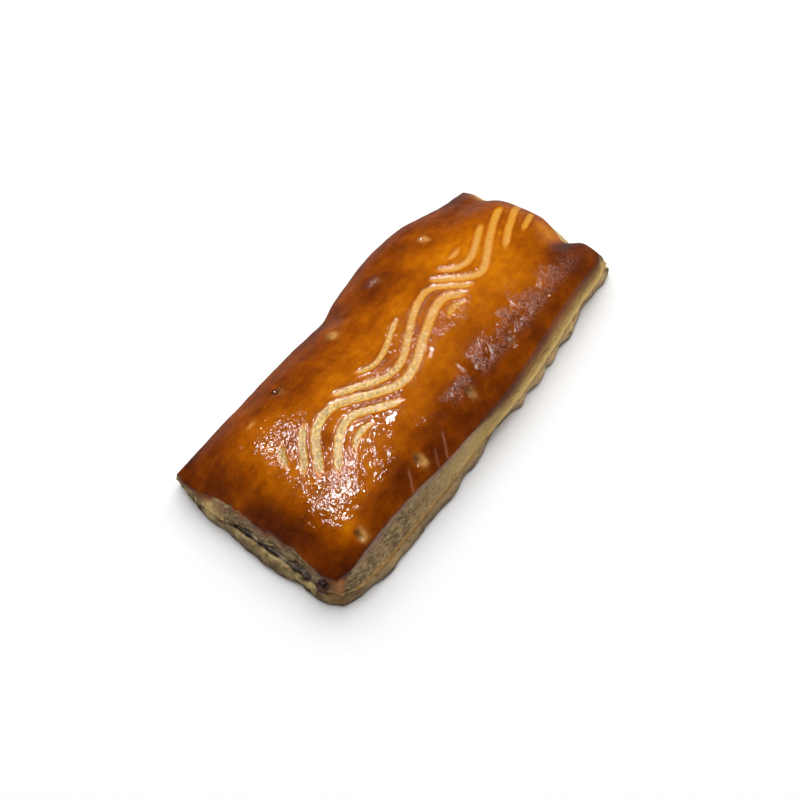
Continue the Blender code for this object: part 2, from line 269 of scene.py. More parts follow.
def graded(steps, *fine):
    """Grid lines from 0 to 1, closer together about each (middle, reach, strength)."""
    at = np.linspace(0.0, 1.0, steps + 1)
    widths = 1.0
    for middle, reach, strength in fine:
        widths = widths * (1 - strength * bell(at, middle, reach))
    lines = np.concatenate([[0.0], np.cumsum((widths[1:] + widths[:-1]) / 2)])
    return lines / lines[-1]


def make_piece(name, points, faces, relief=None, masks=None):
    """Mesh object from points and faces, raised along its normals and carrying named masks."""
    mesh = bpy.data.meshes.new(name)
    mesh.from_pydata(points, [], faces)
    if relief is not None:
        normals = np.zeros(len(points) * 3)
        mesh.vertices.foreach_get("normal", normals)
        points = points + normals.reshape(-1, 3) * relief[:, None]
        mesh.vertices.foreach_set("co", points.astype(np.float32).ravel())
    mesh.update()
    mesh.shade_smooth()
    for mask, values in (masks or {}).items():
        layer = mesh.attributes.new(mask, "FLOAT", "POINT")
        layer.data.foreach_set("value", np.broadcast_to(values, len(points)).astype(np.float32))
    piece = bpy.data.objects.new(name, mesh)
    bpy.context.scene.collection.objects.link(piece)
    return piece


class Shade:
    """A socket of a material's node tree.  Arithmetic on it adds Math nodes."""

    def __init__(self, tree, socket=None):
        self.tree = tree
        self.socket = socket

    def add(self, kind, settings=None, inputs=None, output=0):
        """New node: its settings first, then the values or links of its sockets."""
        node = self.tree.nodes.new(kind)
        for setting, value in (settings or {}).items():
            if setting == "stops":
                for position, colour in value[1:-1]:
                    node.color_ramp.elements.new(position).color = colour
                for element, (position, colour) in zip(node.color_ramp.elements, value):
                    element.position = position
                    element.color = colour
            else:
                setattr(node, setting, value)
        for key, value in (inputs or {}).items():
            if isinstance(value, Shade):
                self.tree.links.new(value.socket, node.inputs[key])
            else:
                node.inputs[key].default_value = value
        return Shade(self.tree, node.outputs[output])

    def maths(self, operation, first, second):
        return self.add("ShaderNodeMath", {"operation": operation}, {0: first, 1: second})

    def __add__(self, other):
        return self.maths("ADD", self, other)

    __radd__ = __add__

    def __sub__(self, other):
        return self.maths("SUBTRACT", self, other)

    def __rsub__(self, other):
        return self.maths("SUBTRACT", other, self)

    def __mul__(self, other):
        return self.maths("MULTIPLY", self, other)

    __rmul__ = __mul__

    def ramp(self, *stops):
        """Colour from stops of position, red, green and blue."""
        stops = [(position, tone(*colour)) for position, *colour in stops]
        return self.add("ShaderNodeValToRGB", {"stops": stops}, {"Fac": self})

    def rise(self, low, high):
        """0 where this is below low, 1 above high."""
        return self.add("ShaderNodeMapRange", {"interpolation_type": "SMOOTHSTEP"},
                        {"Value": self, "From Min": low, "From Max": high})

    def blend(self, first, second):
        """Colour between two colours, with this as the second one's share."""
        return self.add("ShaderNodeMix", {"data_type": "RGBA"}, {0: self, 6: first, 7: second}, 2)

    def mask(self, name):
        return self.add("ShaderNodeAttribute", {"attribute_name": name}, output=2)

    def grain(self, size, detail=2.0, stretch=None):
        """Noise, about 0.3 to 0.7, with lumps of the given size in millimetres."""
        place = self.add("ShaderNodeTexCoord", output=3)
        if stretch:
            place = self.add("ShaderNodeVectorMath", {"operation": "MULTIPLY"},
                             {0: place, 1: stretch})
        return self.add("ShaderNodeTexNoise",
                        inputs={"Vector": place, "Scale": 1 / (size * MM), "Detail": detail})

    def relief(self, height, depth):
        """Bumped normal from a height of 0 to 1 that stands for depth millimetres."""
        return self.add("ShaderNodeBump", inputs={"Strength": 1.0, "Distance": depth * MM,
                                                  "Height": height})


def new_material(name, **constants):
    """Material with a Principled shader, and its Shade for adding nodes."""
    material = bpy.data.materials.new(name)
    material.use_nodes = True
    shader = material.node_tree.nodes["Principled BSDF"]
    for socket, value in constants.items():
        shader.inputs[socket.replace("_", " ")].default_value = value
    return material, Shade(material.node_tree), shader


def surface(paint, shader, **links):
    """Feed the shader's sockets that vary over the surface."""
    for socket, value in links.items():
        paint.tree.links.new(value.socket, shader.inputs[socket.replace("_", " ")])


def tone(red, green, blue):
    """Linear colour from the 0 to 255 numbers of a paint chart."""
    chart = np.array([red, green, blue]) / 255
    linear = np.where(chart <= 0.04045, chart / 12.92, ((chart + 0.055) / 1.055) ** 2.4)
    return (*linear.tolist(), 1.0)


sheet = Sheet(graded(BASE_STEPS[0], (0, 0.04, 0.4), (1, 0.04, 0.4)),
              graded(BASE_STEPS[1], (0, 0.08, 0.6), (1, 0.08, 0.6)),
              BASE_RIM_ROWS, UNDERSIDE_STRIDE)


def base_underside(x, y):
    uneven = lumps(np.stack([x, y, 0 * x], axis=1), HOLLOW_WIDTH, 5)
    return HOLLOW_DEPTH * ease(0.0, 1.2, np.abs(uneven))


points, down = sheet.place(base_ring, base_top, base_underside), sheet.down
x, y = points[:, 0], points[:, 1]
xm, ym = x / MM, y / MM
on_wall = (sheet.level > 0) & (sheet.level < sheet.rows)
at_end = np.maximum(bell(sheet.u, 0, 0.02), bell(sheet.u, 1, 0.02))
layers = rough(points, (4.0, 4.0, 0.7), 11)
bubbles = ease(0.35, 0.8, lumps(points, (1.5, 1.5, 1.0), 17))
relief = on_wall * (RISE["layers"] * layers - RISE["bubbles"] * bubbles
                    + RISE["lumps"] * rough(points, 5, 19)) * MM
set_in = (x - curve_through(SLIT_END[:, 1], SLIT_END[:, 0], y)) / MM
apron = (sheet.level < APRON_ROWS) * (1 - ease(*APRON_EDGE, set_in))
hole = bell(np.hypot(xm - APRON_HOLE[0], ym - APRON_HOLE[1]), 0, APRON_HOLE[2])
blister = np.maximum(ease(0.35, 0.7, lumps(points, 1.6, 23)), hole)
relief = relief + apron * (RISE["bumps"] * rough(points, 2.8, 21)
                           - RISE["blisters"] * blister) * MM
buttery = (bell(y, 17 * MM, 4 * MM) * bell(down, 0, 0.5)
           + 0.65 * bell(y, -19 * MM, 8 * MM) * bell(down, 0.1, 0.6)
           + 1.5 * bell(x, 76 * MM, 5 * MM) * bell(y, -31 * MM, 6 * MM))
base = make_piece("base_sheet", points, sheet.faces, relief, {
    "down": down, "at_end": at_end, "holes": np.maximum(bubbles * on_wall, blister * apron),
    "far_half": ease(-0.02, 0.02, x), "buttery": buttery,
    "toasted": bell(xm, -71, 4) * bell(ym, -29.5, 3.5)})

# Pastry from its foot, dark with painted shade, up to its toasted edge: near half, far half, and
# the roll at the ends.
NEAR_LIP = ((0.0, 102, 78, 50), (0.30, 142, 116, 82), (0.6, 174, 144, 102), (0.85, 204, 168, 108),
            (1.0, 188, 136, 62))
FAR_LIP = ((0.0, 140, 112, 82), (0.30, 186, 154, 112), (0.6, 214, 180, 128), (0.85, 228, 190, 124),
           (1.0, 206, 158, 86))
END_ROLL = ((0.0, 96, 74, 44), (0.30, 130, 106, 68), (0.6, 160, 134, 88), (1.0, 198, 172, 118))
UNDERSIDE = ((0.4, 160, 120, 76), (0.8, 206, 168, 116))
BUTTER, HOLE_SHADE, TOAST = tone(226, 196, 126), tone(76, 56, 34), tone(184, 124, 62)
material, paint, shader = new_material("dry_tan_pastry", Roughness=0.6, Specular_IOR_Level=0.35)
height = 1 - paint.mask("down")
end = paint.mask("at_end")
fine = paint.grain(0.9, 4.0, (0.5, 0.5, 2.0))
broad = paint.grain(6)
blotches = paint.grain(2.4, 3.0)
# Colour rises with height, so the lip and the roll are darker towards the foot: painted shade.
lip = height * 0.9 + (broad - 0.5) * 0.7 + (fine - 0.5) * 0.4
near, far = lip.ramp(*NEAR_LIP), lip.ramp(*FAR_LIP)
side = paint.mask("far_half").blend(near, far)
mottled = (blotches - 0.5) * 1.6 + (broad - 0.5) * 0.9 + (fine - 0.5) * 0.5
roll = (height * 0.6 + mottled).ramp(*END_ROLL)
roll = (paint.mask("buttery") * blotches.rise(0.4, 0.6)).blend(roll, BUTTER)
colour = end.blend(side, roll)
# Bubbles and blisters are dented in and painted dark inside: painted shade.
colour = (paint.mask("holes") * 0.75).blend(colour, HOLE_SHADE)
colour = (paint.mask("toasted") * 0.40).blend(colour, TOAST)
baked = (broad * 1.1 + fine * 0.3).ramp(*UNDERSIDE)
colour = paint.mask("down").rise(0.84, 0.97).blend(colour, baked)
surface(paint, shader, Base_Color=colour, Normal=paint.relief(fine + blotches * 0.8, 0.25))
base.data.materials.append(material)
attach(base, "root")
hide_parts("pastry_base")

# ==== Meat filling ====
# A ridge of baked minced pork that runs through the roll.  It is grainy and dark, with paler lumps,
# and it shows only where the lid stands open at the ends, with a drop of burnt juice at one corner.
GAP = 0.3 * MM
FILLING = profile(
    at=[-72, -62, -50, -35, 0, 45, 60, 68, 74],
    depth=[1.1, 4.2, 9.0, 12.6, 13.6, 12.8, 9.6, 5.4, 3.6],
    half_width=[15.5, 16.4, 16.8, 17.0, 17.0, 16.4, 15.4, 14.4, 13.5],
    middle=[-8.0, -5.0, -2.6, 0.0, 0.5, 0.2, 0.0, 0.0, 0.0])
FILLING_ENDS = (-71.3 * MM, 70.6 * MM)
FILLING_STEPS = (300, 120)
END_RINGS = 12  # rings that close each end face
CORE_SHARE = 0.04  # size of the last of them
CORE_HEIGHT = 0.4  # where the section's middle lies, as a share of its depth
END_REACH = 3 * MM  # how deep the open ends are worked finely
MINCE_SIZE = 2.2  # width of its grains and lumps in millimetres, and how far they stand up
MINCE_RISE = (0.12, 0.75)  # inside the roll and at its open ends
FAT_LUMP = {"middle": -10.5 * MM, "reach": 1.3 * MM, "rise": 0.7 * MM}
# The drop: a ball squeezed to size, in millimetres, in the corner of the slit.
DROP = {"middle": (-70.3, -24.9, 7.8), "reach": (2.2, 1.5, 2.9), "rings": 40, "turns": 60,
        "tip": 0.02, "lump": 1.9, "rise": 0.75}


def filling_arch(x, y, spread, rise):
    """Height of the filling's rounded back above its floor, with the section grown by a margin."""
    half_width = follow(FILLING, "half_width", x) + spread
    across = (y - follow(FILLING, "middle", x)) / half_width
    depth = follow(FILLING, "depth", x) + rise
    return depth * np.sqrt(np.clip(1 - across**2, 0.0, 1.0))


def filling_section(x, turn, share):
    """Point of the cross section at x: turn goes once round it, share runs from middle to skin."""
    middle = follow(FILLING, "middle", x)
    half_width = follow(FILLING, "half_width", x) - GAP
    y = middle - half_width * np.cos(2 * np.pi * turn) * share
    skin_y = middle - half_width * np.cos(2 * np.pi * turn)
    full = np.where(turn < 0.5, filling_arch(x, skin_y, 0.0, 0.0), 0.0)
    core = CORE_HEIGHT * follow(FILLING, "depth", x)
    return x, y, base_top(x, y) + GAP + core + (full - core) * share


def tube_faces(ring, winding):
    """Quads between the rings of a tube, wound either way (1 or -1), and a face over each end."""
    quads = np.stack([ring[:-1], ring[1:], np.roll(ring[1:], -1, axis=1),
                      np.roll(ring[:-1], -1, axis=1)], axis=-1)
    return (quads.reshape(-1, 4)[:, ::winding].tolist()
            + [ring[0].tolist(), ring[-1, ::-1].tolist()])


run = np.concatenate([np.zeros(END_RINGS), np.linspace(0, 1, FILLING_STEPS[0] + 1),
                      np.ones(END_RINGS)])
share = np.concatenate([np.linspace(CORE_SHARE, 1, END_RINGS, endpoint=False),
                        np.ones(FILLING_STEPS[0] + 1),
                        np.linspace(1, CORE_SHARE, END_RINGS + 1)[1:]])
run, turn = np.meshgrid(run, np.arange(FILLING_STEPS[1]) / FILLING_STEPS[1], indexing="ij")
share = np.broadcast_to(share[:, None], run.shape)
places = between(run, *FILLING_ENDS)
points = np.stack(filling_section(places.ravel(), turn.ravel(), share.ravel()), axis=1)
faces = tube_faces(np.arange(run.size).reshape(run.shape), -1)
mince = rough(points, MINCE_SIZE, 41)
near_end = (bell(points[:, 0], FILLING_ENDS[0], END_REACH)
            + bell(points[:, 0], FILLING_ENDS[1], END_REACH)).clip(0, 1)
lump = bell(points[:, 1], FAT_LUMP["middle"], FAT_LUMP["reach"])
relief = between(near_end, *MINCE_RISE) * mince * MM + FAT_LUMP["rise"] * near_end * lump

ball = []
for ring_angle in np.linspace(DROP["tip"], np.pi - DROP["tip"], DROP["rings"]):
    for angle in np.arange(DROP["turns"]) * 2 * np.pi / DROP["turns"]:
        ball.append((np.sin(ring_angle) * np.cos(angle), np.sin(ring_angle) * np.sin(angle),
                     np.cos(ring_angle)))
ball = np.array(ball)
drop = (ball * DROP["reach"] + DROP["middle"]) * MM
faces += tube_faces(np.arange(len(ball)).reshape(DROP["rings"], -1) + len(points), 1)
relief = np.concatenate([relief, DROP["rise"] * MM * rough(drop, DROP["lump"], 47)])
fat = np.maximum(ease(0.45, 0.8, lumps(points, 3, 53)), lump)
filling = make_piece("baked_mince", np.concatenate([points, drop]), faces, relief, {
    "juice": np.concatenate([np.zeros(len(points)), np.ones(len(drop))]),
    "lump": np.concatenate([mince, relief[len(points):] / MM]),
    "fat": np.concatenate([fat * near_end, np.zeros(len(drop))])})

# Minced meat and burnt juice, each from its dark hollows to its pale grains and lumps, and lumps of
# fat.
MEAT = ((0.25, 40, 26, 18), (0.5, 80, 60, 44), (0.72, 122, 98, 74), (0.9, 168, 146, 114))
BURNT_JUICE = ((0.3, 28, 14, 14), (0.8, 92, 62, 52))
FAT = tone(204, 186, 150)
material, paint, shader = new_material("baked_meat", Specular_IOR_Level=0.5)
grains = paint.grain(0.7, 3.0)
# The relief's height lifts the colour: darker in its hollows is painted shade, beside the meat's
# own grains.
meat = (paint.mask("lump") * 0.35 + grains).ramp(*MEAT)
meat = (paint.mask("fat") * 0.85).blend(meat, FAT)
juice = paint.mask("juice")
# Paler on the drop's lumps and darker between them: painted highlight and painted shade.
burnt = (paint.mask("lump") * 0.7 + grains).ramp(*BURNT_JUICE)
colour = juice.blend(meat, burnt)
surface(paint, shader, Base_Color=colour, Roughness=0.55 - juice * 0.38,
        Normal=paint.relief(grains, 0.3))
filling.data.materials.append(material)
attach(filling, "root")
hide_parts("meat_filling")

# ==== Pastry lid ====
# The upper sheet, puffed over the meat and pressed down round it.  Its top was brushed with egg,
# scored with a comb in waves and baked to a crackled brown gloss; its cut sides are pale crumb.
CROWN_HEIGHT = 23.0 * MM
# Top edge: height above the floor, and lean, the distance inside the outline; then the seam's.
RIGHT_EDGE = profile(
    at=[-72, -62, -40, -26, -11, 3, 16, 32, 55, 72],
    height=[9.0, 10.8, 11.2, 11.0, 10.6, 10.6, 11.4, 11.8, 11.4, 9.6],
    lean=[3.2, 4.8, 5.0, 3.8, 3.0, 2.8, 3.3, 3.6, 3.2, 2.8])
LEFT_EDGE = profile(
    at=[-72, -60, -30, 0, 30, 55, 72],
    height=[7.8, 9.0, 9.6, 9.6, 9.8, 9.0, 7.2],
    lean=[2.2, 2.4, 2.4, 2.4, 2.6, 2.4, 2.2])
SLIT_EDGE = profile(
    at=[-31, -27, -23, -16, -7, 1, 9, 14, 20, 25, 33],
    lean=[2.8, 3.9, 5.1, 6.0, 6.6, 5.7, 6.1, 5.4, 3.8, 2.2, 1.8])
DOMED_EDGE = profile(
    at=[-31, -24, -15, -4, 8, 18, 29],
    lean=[5.6, 6.4, 5.6, 3.6, 3.4, 4.0, 2.6])
SIDE_SEAM_LEAN = 1.3 * MM
DOMED_SEAM_LEAN = 2.3 * MM
SLIT_SEAM = profile(
    at=[-31, -25, -21, -12, -4, 2, 8, 13, 20, 33],
    lean=[1.8, 3.2, 4.6, 4.8, 4.8, 4.6, 3.5, 2.4, 1.7, 1.4])
# Share of the dome's height that is left towards the ends, and the powers of its flat-topped arch.
SLIT_PRESS = {"at": np.array([-74, -70, -66, -62, -52, -38, 0, 75]) * MM,
              "kept": np.array([0.14, 0.27, 0.46, 0.64, 0.87, 0.97, 1.0, 1.0])}
DOMED_PRESS = {"at": np.array([-75, 30, 50, 60, 66, 71, 74]) * MM,
               "kept": np.array([1.0, 1.0, 0.93, 0.82, 0.68, 0.46, 0.30])}
DOME_SQUARENESS = 2.3
DOME_FULLNESS = 0.72
POCKET_RISE = 0.7 * MM  # room above the filling, besides the gap, and beside it
POCKET_SPREAD = 1.6 * MM
# Swells (+) and creases (-): height, middle and reach along x, middle and reach along y.
SWELLS = np.array([
    (-6.0, 76.0, 17.0, -14.5, 5.2), (-2.2, 76.0, 22.0, 17.0, 4.0), (1.0, 76.0, 20.0, -22.5, 3.2),
    (1.2, 26.0, 20.0, 29.0, 5.0), (-1.2, -4.0, 4.0, 27.0, 6.0)]) * MM
# Pin marks that pressed lid and base together: x, y, darkness of the hole (painted shade), paleness
# round it.
PIN_MARKS = ((-35.5, 20.7, 1.0, 0.15), (-10.8, 20.6, 0.3, 0.7), (13.2, 22.4, 0.8, 0.1),
             (36.2, 20.4, 0.1, 0.6), (-55.8, -26.2, 1.0, 0.7), (-29.4, -26.6, 0.9, 0.7),
             (-3.0, -25.4, 0.5, 0.3), (19.6, -24.4, 0.7, 0.1))
PIN_HOLE, PIN_DENT, PIN_HALO = 0.7, 1.9, 4.5  # reach of the hole, its dent and its halo
# Faint drips of glaze up from the right side's cut: x, how far up they reach, strength.
DRIPS = ((-34.9, -25.4, 1.0), (-19.2, -26.0, 1.0), (-23.5, -27.2, 0.6))
DRIP_SLANT, DRIP_FOOT, DRIP_WIDTH = 0.87, -28, 0.45
# The comb's strokes, as (x, y) points in millimetres, and their widths.
STROKES = (
    (2.1, ((-20.5, 4.2), (-19.4, 3.5), (-17, 1.9), (-15, 1.0), (-12.5, 0.6), (-10, 0.8), (-7, 1.5),
        (-4, 2.6), (-1, 3.8), (2, 4.7), (5.6, 5.3))),
    (2.7, ((-30.3, 5), (-28, 3.5), (-25.3, 1.6), (-23, 0.2), (-20.3, -1.8), (-17.6, -3.5),
        (-15, -4.7), (-12.5, -5.3), (-10, -5.4), (-7, -4.8), (-4, -3.6), (0, -1.6), (3.3, 0),
        (6.5, 1.6), (10, 3), (13.3, 3.9), (17, 4.4), (20, 3.4), (22, 1.4), (23.8, -0.8),
        (25.6, -2.9), (27.4, -4.7), (30.1, -7))),
    (3.3, ((-51.3, -10.1), (-50, -8.8), (-47.6, -6.3), (-45.3, -4), (-43.5, -1.8), (-41.2, 0),
        (-38.5, 1.3), (-35.8, 1.9), (-33, 1.9), (-30.3, 1), (-27.6, -0.9), (-25, -2.7), (-22.1, -5),
        (-19.4, -6.8), (-16.7, -8.4), (-14, -9.3), (-11.7, -9.7), (-8.5, -9.4), (-5, -8.5),
        (-1.2, -7), (2, -5.7), (5.1, -4.6), (8.3, -3.4), (11.5, -2.3), (14.7, -1.6), (17.5, -1.5),
        (20.1, -2.5), (21.5, -3.8), (23.3, -5.4), (25.6, -7.2))),
    (3.0, ((-48, -13.4), (-46.2, -12), (-43.5, -10), (-41.2, -8.1), (-38.5, -6.3), (-35.8, -5),
        (-33, -4.6), (-30.3, -5.1), (-28, -6.4), (-25.3, -8.4), (-22.6, -10.4), (-20, -12),
        (-16.7, -13.9))),
    (2.5, ((-39.4, -13.8), (-38.5, -12.4), (-36.7, -10.9), (-34.4, -10), (-31.7, -10),
        (-29.4, -10.9), (-27.6, -12.5))),
    (2.8, ((-53.5, -6.3), (-52.2, -5), (-49.4, -2.5), (-47.1, -0.4), (-44.9, 1.9), (-43, 3.3),
        (-40.6, 4.8), (-39.4, 6.6))),
    (2.7, ((-54.4, -1.6), (-53, 0.8), (-51.6, 3.4), (-50, 5), (-48.4, 6.3), (-47.2, 7.1))),
    (2.4, ((12.2, -9), (13.5, -7.1), (15.6, -6.2), (18.3, -6.2), (20.6, -7.3), (22.4, -9.6))),
    (2.2, ((30.1, 8), (32, 6.8), (34.7, 6), (37.4, 6.3), (39.9, 7.5))),
    (2.7, ((25.2, 8), (27.4, 5.7), (29.7, 3.2), (32, 1.8), (34.7, 1), (37.4, 1.2), (40, 2),
        (43, 3.2), (46.5, 4.8), (50, 6.3), (53.6, 7.6))),
    (3.0, ((20.6, 7.7), (22.4, 5.5), (24.7, 2.8), (27, 0.3), (29.2, -2.2), (31.5, -3.9),
        (33.8, -4.8), (36.5, -4.4), (40, -2.8), (43, -1.3), (46, 0.3), (50, 2.1), (53.8, 3.9),
        (57.5, 5.3), (61, 6.6), (66, 7.6))),
    (2.8, ((45.4, -6.5), (48, -4.7), (51.5, -3.1), (54.7, -1.5), (58.3, -0.2), (62, 1.4),
        (65.6, 2.8), (69.2, 3.9), (73, 5))),
    (2.3, ((55.4, -5.9), (58.4, -5), (61, -4.3), (64.2, -3.4), (67.9, -2.2), (72, -1))))
STROKE_DEPTH = 0.28 * MM
STROKE_SAMPLE = 0.3 * MM  # spacing of the places that a stroke is measured from
STROKE_MARGIN = 3 * MM  # how far from it the lid is marked
STROKE_TAPER = 5 * MM  # length of its tapered ends
BURR = 0.4 * MM  # width of the burr beside it
LID_STEPS = (376, 176)
LID_WALL_ROWS = 22
SLIT_MIDDLE = -72 * MM  # where the slit lies along the roll
SLIT_OPENS = (-28 * MM, -22 * MM)  # and where across it, from right to left
SLIT_CLOSES = (2 * MM, 9 * MM)
SLIT_PINCH = 0.70 * MM  # how far the lid sags onto the meat there
SLIT_PINCH_REACH = 3.5 * MM
SLIT_WAVE = 0.8 * MM  # how far its cut face wanders in and out
# Between these x, in millimetres, the right side turns from cut straight to rounded over.  Then
# how round its two halves, the left side and the ends are.
TURN_OVER = np.array([-16, 8])
ROUNDNESS = {"cut": 0.1, "far": 0.95, "left": 0.9, "ends": 0.65}
BEAD_HEIGHT, BEVEL = 0.45 * MM, 0.5 * MM  # of the wall's top edge


def patches(marks, x, y, total=0.0):
    """Sum of soft spots: strength, middle and reach along x, middle and reach along y."""
    for strength, middle_x, reach_x, middle_y, reach_y in marks:
        total = total + strength * bell(x, middle_x, reach_x) * bell(y, middle_y, reach_y)
    return total


def slit_span(y):
    """1 along the open part of the slit, 0 beyond it."""
    return ease(*SLIT_OPENS, y) * (1 - ease(*SLIT_CLOSES, y))


def lid_underside(x, y):
    """The lid lies on the base at its rim, arches over the filling and gapes at the slit."""
    wavy = 1 + 2.2 * rough(np.stack([0 * y, y, 0 * y], axis=1), 4.5, 61)
    return (base_top(x, y) + GAP + filling_arch(x, y, POCKET_SPREAD, POCKET_RISE)
            - SLIT_PINCH * bell(x, SLIT_MIDDLE, SLIT_PINCH_REACH) * slit_span(y) * wavy)


def lid_top(x, y):
    """The browned top: a flat-topped arch between the two edges, pressed down at the ends."""
    v = fractions(x, y)[1]
    right = follow(RIGHT_EDGE, "height", x)
    left = follow(LEFT_EDGE, "height", x)
    edge = right + (left - right) * v
    arch = np.clip(1 - np.abs(2 * v - 1) ** DOME_SQUARENESS, 0.0, 1.0) ** DOME_FULLNESS
    for press in (SLIT_PRESS, DOMED_PRESS):
        arch = arch * follow(press, "kept", x)
    return patches(SWELLS, x, y, edge + (CROWN_HEIGHT - edge) * arch)


def lid_ring(u, v, down):
    """Points of the wall from the top edge (down = 0) to the seam (1)."""
    x, y = outline_patch(u, v)
    right = between(ease(*TURN_OVER * MM, x), ROUNDNESS["cut"], ROUNDNESS["far"])
    rounding = between(amid(u, 0.04), ROUNDNESS["ends"], between(v, right, ROUNDNESS["left"]))
    share = 1 - down
    out = between(rounding, share, 1 - np.cos(share * np.pi / 2))
    up = between(rounding, share, np.sin(share * np.pi / 2))
    bead = BEAD_HEIGHT * bell(share, 0.08, 0.07) - BEVEL * (1 - ease(0.0, 0.06, share))
    slit_seam = follow(SLIT_SEAM, "lean", y)
    insets = []
    for edge, across, seam_lean in ((RIGHT_EDGE, x, SIDE_SEAM_LEAN), (LEFT_EDGE, x, SIDE_SEAM_LEAN),
                                    (SLIT_EDGE, y, slit_seam), (DOMED_EDGE, y, DOMED_SEAM_LEAN)):
        lean = follow(edge, "lean", across)
        insets.append(seam_lean + (lean - seam_lean) * out - bead)
    insets[2] = insets[2] + SLIT_WAVE * rough(np.stack([0 * y, y, 0 * y], axis=1), 7, 63)
    x, y = plan(u, v, *insets)
    seam = lid_underside(x, y)
    return x, y, seam + (lid_top(x, y) - seam) * up


def comb_marks(x, y):
    """Share of each point that lies in a stroke's floor, and on the burr along its edges."""
    floor, burr = np.zeros(len(x)), np.zeros(len(x))
    ragged = between(ease(-40 * MM, -10 * MM, x), 0.3, 0.12) * MM * rough(
        np.stack([x, y, 0 * x], axis=1), 1.6, 65)
    for width, path in STROKES:
        path = np.array(path) * MM
        chords = np.linalg.norm(np.diff(path, axis=0), axis=1)
        stations = np.concatenate([[0.0], np.cumsum(chords)])
        along = np.linspace(0.0, stations[-1], int(stations[-1] / STROKE_SAMPLE))
        line = np.stack([curve_through(stations, path[:, k], along) for k in (0, 1)], axis=1)
        low, high = line.min(axis=0) - STROKE_MARGIN, line.max(axis=0) + STROKE_MARGIN
        near = np.flatnonzero((x > low[0]) & (x < high[0]) & (y > low[1]) & (y < high[1]))
        away = np.hypot(x[near, None] - line[:, 0], y[near, None] - line[:, 1])
        closest = away.argmin(axis=1)
        away = away[np.arange(len(near)), closest]
        end = np.minimum(along[closest], stations[-1] - along[closest])
        taper = ease(-0.5 * MM, STROKE_TAPER, end)
        half = width * MM / 2 * (0.40 + 0.52 * taper) + ragged[near]
        soft = between(ease(-10 * MM, 45 * MM, x[near]), 1.1, 1.9) * MM
        inside = 1 - ease(half - 0.62 * soft, half + 0.38 * soft, away)
        floor[near] = np.maximum(floor[near], taper * inside)
        burr[near] = np.maximum(burr[near], taper * bell(away, half + BURR, BURR))
    return floor, burr * (1 - floor)


sheet = Sheet(graded(LID_STEPS[0], (0, 0.03, 0.4), (1, 0.03, 0.4)),
              graded(LID_STEPS[1], (0.5, 0.2, 0.3), (0, 0.05, 0.4), (1, 0.05, 0.4)),
              LID_WALL_ROWS, UNDERSIDE_STRIDE)
points, down = sheet.place(lid_ring, lid_top, lid_underside), sheet.down
xm, ym = points[:, 0] / MM, points[:, 1] / MM
u, v = sheet.u, sheet.v
outside = sheet.level < sheet.rows
flat = (sheet.level == 0) * 1.0
far = ease(*TURN_OVER, xm)

# Where the brown skin ends and the cut's pale crumb begins, and how blurred that is, as shares of
# the wall.
SKIN_END = {"cut": 0.05, "far": 0.42, "left": 0.45, "ends": 0.32}
SKIN_BLUR = {"cut": 0.05, "far": 0.65, "left": 0.60, "ends": 0.60}
at_end = 1 - amid(u, 0.035)
skin_end, blur = (between(v, between(far, share["cut"], share["far"]), share["left"])
                  for share in (SKIN_END, SKIN_BLUR))
skin_end = between(at_end, skin_end + 0.05 * rough(points, 5, 71),
                   SKIN_END["ends"] + 0.45 * rough(points, 6, 72))
skin_end = skin_end + 0.5 * bell(u, 0, 0.010) * bell(ym, -29, 2.0)
blur = between(at_end, blur, SKIN_BLUR["ends"])
crumb = ease(0.0, 1.0, (down - skin_end) / blur + 0.5) * ease(0.0, 0.07, down)
skin = 1 - crumb

# Browning from pale gold (0) over amber (0.4) and red-brown (0.8) to maroon (1): across, along,
# and in patches.  All places on the lid from here on are in millimetres.
BROWN_ACROSS = {"at": np.array([-34, -28, -24, -20, -16, -10, 0, 8, 16, 24, 31.0]),
                "brown": np.array([.80, .82, .74, .63, .57, .53, .54, .57, .67, .73, .74])}
BROWN_ALONG = {"at": np.array([-75, -70, -66, -60, -52, -40, 0, 26, 44, 54, 64, 75.0]),
               "brown": np.array([.34, .32, .26, .12, .04, .015, .02, -.01, -.03, .06, .06, .12])}
BROWN_PATCHES = (
    (.16, 12, 6, 20, 6), (.08, -36, 8, 18, 7), (-.09, -46, 8, 17, 5), (-.07, 27, 7, 15, 5),
    (-.06, 0, 8, 6, 6), (.10, 60, 11, 24, 8), (.38, 64, 10, -18, 4), (.10, 8, 30, -23, 3),
    (.04, -70, 7, 28, 10), (-.16, -57, 6, -24, 4), (-.08, -46, 11, -21, 4), (-.10, -60, 7, 17, 6),
    (-.14, -64, 4, 24, 4), (.10, 57, 8, -20, 4), (.10, 30, 16, 30, 4), (-.25, 66, 5, -11, 4),
    (.10, -12, 9, 28, 3), (.08, -16, 8, 22, 5), (.08, 34, 9, 21, 6), (.12, 17, 6, 5, 4),
    (.14, -69, 5, 4, 9), (-.20, 50, 17, -33, 3), (-.08, -57, 6, 4, 6), (.22, -66, 4, -8, 6),
    (.14, -24, 5, -29.5, 3), (.06, -34, 7, 11, 6), (.05, -46, 8, 7, 7), (.16, -35, 4, -26, 3),
    (-.07, 12, 6, -27, 4), (-.12, -69, 5, 22, 6), (-.12, -70, 3, 31, 3), (.19, -40, 4, -4.2, 3),
    (-.06, -56, 5, 12, 5), (-.16, -68, 4, -27, 4), (-.08, 12, 6, 28, 4), (-.05, 60, 8, 24, 6),
    (-.05, 40, 12, 2, 8), (-.05, 30, 8, 10, 6), (-.22, -68, 2.5, 7, 3.5))
brown = follow(BROWN_ACROSS, "brown", ym) + follow(BROWN_ALONG, "brown", xm)
